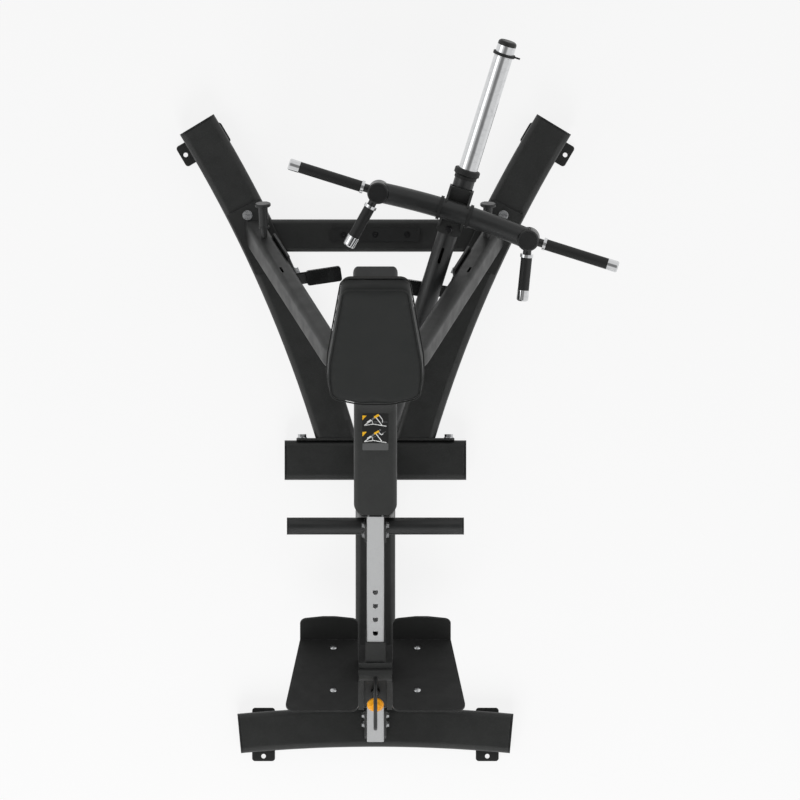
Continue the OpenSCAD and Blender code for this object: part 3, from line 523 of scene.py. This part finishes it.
def cord_round_pad(name, inset, height, radius):
    """Vinyl piping sewn round the pad, at that inset from its outline and height over its front."""
    line = bpy.data.curves.new(name, "CURVE")
    line.dimensions = "3D"
    line.bevel_depth = radius
    line.bevel_resolution = 3
    points = round_corners(pad_outline(inset), 10)
    spline = line.splines.new("POLY")
    spline.points.add(len(points) - 1)
    for point, here in zip(spline.points, points):
        point.co = (here.x * MM, here.y * MM, height * MM, 1)
    spline.use_cyclic_u = True
    carrier = bpy.data.objects.new(name, line)
    bpy.context.scene.collection.objects.link(carrier)
    graph = bpy.context.evaluated_depsgraph_get()
    graph.update()
    data = bpy.data.meshes.new_from_object(carrier.evaluated_get(graph))
    bpy.data.objects.remove(carrier)
    mesh = bmesh.new()
    mesh.from_mesh(data)
    bpy.data.meshes.remove(data)
    cord = object_from(mesh, name, FINISHES["pad_vinyl"], PAD_PLACE)
    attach(cord, "frame")
    return cord


stuffed_cover()
cord_round_pad("pad_front_piping", 7.0, -1.9, 2.0 * MM)
cord_round_pad("pad_back_piping", 1.5, -42.0, 1.8 * MM)


# ---- Printed panel on the spine ----

panel_low, panel_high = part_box("decal_panel")
PRINT_PLACE = (
    Matrix.Translation((Vector(panel_low) + Vector(panel_high)) / 2)
    @ Matrix.Rotation(math.radians(14), 4, "X")
    @ Matrix.Translation((0, 0, 0.3 * MM))
)


def ink(name, colour):
    """Screen-printed ink: flat and slightly glossy, with a thin, uneven edge of wear."""
    material, tree, place = new_material(name)
    thin = noise(tree, place, 3 * MM, 4.0, 0.6)
    tone = blend_colour(tree, between(tree, thin, 0, 0.35, 0.5, 0.75), linear(colour), linear("#3a3a39"))
    shader = add(
        tree, "ShaderNodeBsdfPrincipled", None,
        {
            "Base Color": tone,
            "Roughness": between(tree, thin, 0.35, 0.5),
            "IOR": 1.5,
            "Normal": bump(tree, thin, 0.02 * MM, 0.2),
        },
    )
    finish_material(tree, shader)
    return material


def stroke(mesh, start, end, width, depth=0.12):
    """One printed stroke from start to end, in millimetres from the panel's middle."""
    start, end = Vector(start), Vector(end)
    run = end - start
    turn = Matrix.Rotation(math.atan2(run.y, run.x), 4, "Z")
    middle = (start + end) / 2
    bar = bmesh.ops.create_grid(mesh, x_segments=1, y_segments=1, size=0.5)["verts"]
    size = Matrix.Diagonal((run.length * MM, width * MM, 1, 1))
    place = Matrix.Translation((middle.x * MM, middle.y * MM, depth * MM))
    bmesh.ops.transform(mesh, matrix=place @ turn @ size, verts=bar)


def printed(mesh, name, material):
    made = object_from(mesh, name, material, PRINT_PLACE, smooth=False)
    film = made.modifiers.new("ink film", "SOLIDIFY")
    film.thickness = 0.1 * MM
    film.offset = 0
    apply_modifiers(made)
    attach(made, "frame")
    return made


# One drawing in millimetres: (start, end, width) of each stroke. The second drawing is DROP lower.
DROP = -44
FRAME_STROKES = [
    ((-29.7, 7.2), (-6.1, 10.8), 1.9), ((-6.1, 10.8), (28.9, 5.0), 2.1),
    ((-29.7, 7.2), (-9.6, 21.5), 2.2), ((-22, 16.2), (-12, 22.5), 2.4),
    ((-9.6, 21.5), (-6.1, 10.8), 1.6), ((1.8, 28.5), (16.6, 8.4), 2.4),
]
ARMS_DOWN = [((10.5, 34), (18.0, 24), 2.2), ((18.0, 24), (18.6, 15), 1.8)]
ARMS_UP = [((9.4, -12), (15.8, -18.5), 2.2), ((15.8, -18.5), (20.5, -15), 1.8)]
BAR_DOWN = ((-3, 17), (31, 16.5), 1.2)
BAR_UP = ((-8, -26), (27, -9.5), 1.2)
CORNER_MARK = [(-34, 34.0), (-34, 21.5), (-23.0, 34.0)]
HEAD_RADIUS = 2.5 * MM


def usage_drawings():
    """Two plain line drawings of somebody lying on the incline, with the arms down and up."""
    white, yellow, grey = bmesh.new(), bmesh.new(), bmesh.new()
    for drop in (0, DROP):
        for start, end, width in FRAME_STROKES:
            stroke(white, (start[0], start[1] + drop), (end[0], end[1] + drop), width)
        stroke(grey, (-9.6, 22.5 + drop), (-2.5, 28.5 + drop), 4.2, 0.14)
        stroke(yellow, (-3.0, 28.8 + drop), (9.4, 36.0 + drop), 5.6, 0.18)
        corner = [
            yellow.verts.new((x * MM, (y + drop) * MM, 0.18 * MM))
            for x, y in CORNER_MARK
        ]
        yellow.faces.new(corner)
    for start, end, width in ARMS_DOWN + ARMS_UP:
        stroke(white, start, end, width, 0.16)
    for start, end, width in (BAR_DOWN, BAR_UP):
        stroke(grey, start, end, width, 0.1)
    head = bmesh.ops.create_circle(grey, cap_ends=True, segments=20, radius=HEAD_RADIUS)["verts"]
    bmesh.ops.translate(grey, vec=(12.2 * MM, -5.0 * MM, 0.16 * MM), verts=head)
    printed(white, "print_lines", ink("white ink", "#ecedec"))
    printed(yellow, "print_accents", ink("yellow ink", "#ffc21e"))
    printed(grey, "print_grey", ink("grey ink", "#6f7070"))


def name_strip():
    """A blank grey strip with round corners under the drawings."""
    mesh = bmesh.new()
    sheet = bmesh.ops.create_grid(mesh, x_segments=1, y_segments=1, size=0.5)["verts"]
    bmesh.ops.transform(mesh, matrix=Matrix.Diagonal((68 * MM, 19 * MM, 1, 1)), verts=sheet)
    bmesh.ops.bevel(
        mesh, geom=list(mesh.verts), offset=3 * MM, affect="VERTICES", segments=5, profile=0.5, material=-1
    )
    bmesh.ops.translate(mesh, vec=(0, -50.4 * MM, -0.25 * MM), verts=mesh.verts)
    printed(mesh, "print_strip", ink("grey film", "#565757"))


usage_drawings()
name_strip()


# ---- Studio ----


def studio_floor():
    mesh = bmesh.new()
    bmesh.ops.create_grid(mesh, x_segments=1, y_segments=1, size=9)
    material, tree, place = new_material("pale studio floor")
    tone = noise(tree, place, 1.4, 2.0)
    paper = blend_colour(tree, between(tree, tone, 0, 1), linear("#f4f4f4"), linear("#f7f7f7"))
    matt = add(tree, "ShaderNodeBsdfPrincipled", None, {"Base Color": paper, "Roughness": 0.85})
    lit = add(tree, "ShaderNodeEmission", None, {"Color": (1, 1, 1, 1), "Strength": 1.0})
    ray = add(tree, "ShaderNodeLightPath").outputs
    seen = add(
        tree, "ShaderNodeMath", {"operation": "MAXIMUM"}, {0: ray["Is Camera Ray"], 1: ray["Is Glossy Ray"]}
    ).outputs["Value"]
    share = add(tree, "ShaderNodeMath", {"operation": "MULTIPLY"}, {0: seen, 1: 0.85}).outputs["Value"]
    mix = add(tree, "ShaderNodeMixShader", None, {"Fac": share})
    tree.links.new(matt.outputs["BSDF"], mix.inputs[1])
    tree.links.new(lit.outputs["Emission"], mix.inputs[2])
    add(tree, "ShaderNodeOutputMaterial", None, {"Surface": mix.outputs["Shader"]})
    floor = object_from(mesh, "studio_floor", material, Matrix.Translation((0, 0.93, 0)))


def soft_light(name, place, aim, size, power, mirrored=True):
    """A large square studio light that faces a point, and may be left out of reflections."""
    lamp = bpy.data.lights.new(name, "AREA")
    lamp.shape = "SQUARE"
    lamp.size = size
    lamp.energy = power
    holder = bpy.data.objects.new(name, lamp)
    holder.location = place
    holder.rotation_mode = "QUATERNION"
    holder.rotation_quaternion = (Vector(aim) - Vector(place)).to_track_quat("-Z", "Y")
    holder.visible_glossy = mirrored
    bpy.context.scene.collection.objects.link(holder)


def sky():
    """A plain surround: bright to the sides and darker overhead, which gives chrome its dark line."""
    world = bpy.data.worlds.new("studio surround")
    bpy.context.scene.world = world
    world.use_nodes = True
    tree = world.node_tree
    tree.nodes.clear()
    way = add(tree, "ShaderNodeTexCoord").outputs["Generated"]
    height = add(tree, "ShaderNodeSeparateXYZ", None, {"Vector": way}).outputs["Z"]
    shade = add(
        tree, "ShaderNodeMapRange", {"interpolation_type": "SMOOTHSTEP"},
        {"Value": height, "From Min": 0.82, "From Max": 0.96, "To Min": 0.36, "To Max": 0.11},
    ).outputs["Result"]
    mirrored = add(tree, "ShaderNodeLightPath").outputs["Is Glossy Ray"]
    lift = add(
        tree, "ShaderNodeMapRange", None,
        {"Value": mirrored, "From Min": 0.0, "From Max": 1.0, "To Min": 1.0, "To Max": 2.3},
    ).outputs["Result"]
    power = add(tree, "ShaderNodeMath", {"operation": "MULTIPLY"}, {0: shade, 1: lift}).outputs["Value"]
    glow = add(tree, "ShaderNodeBackground", None, {"Color": (1, 1, 1, 1), "Strength": power})
    add(tree, "ShaderNodeOutputWorld", None, {"Surface": glow.outputs["Background"]})


studio_floor()
sky()
middle = (0, 0.93, 0.2)
soft_light("key, user side", (-0.3, -2.7, 2.9), middle, 2.6, 120, mirrored=False)
soft_light("fill, left", (-3.4, 1.4, 2.6), middle, 2.2, 16)
soft_light("fill, right", (3.4, 1.4, 2.6), middle, 2.2, 16)

camera = bpy.data.objects.new("camera", bpy.data.cameras.new("camera"))
camera.data.type = "ORTHO"
camera.data.ortho_scale = 2.096
camera.location = (0.0644, 0.9332, 4.0)
camera.rotation_euler = (0, 0, 0)
camera.data.clip_end = 20
bpy.context.scene.collection.objects.link(camera)
bpy.context.scene.camera = camera
bpy.context.scene.view_settings.view_transform = "Standard"
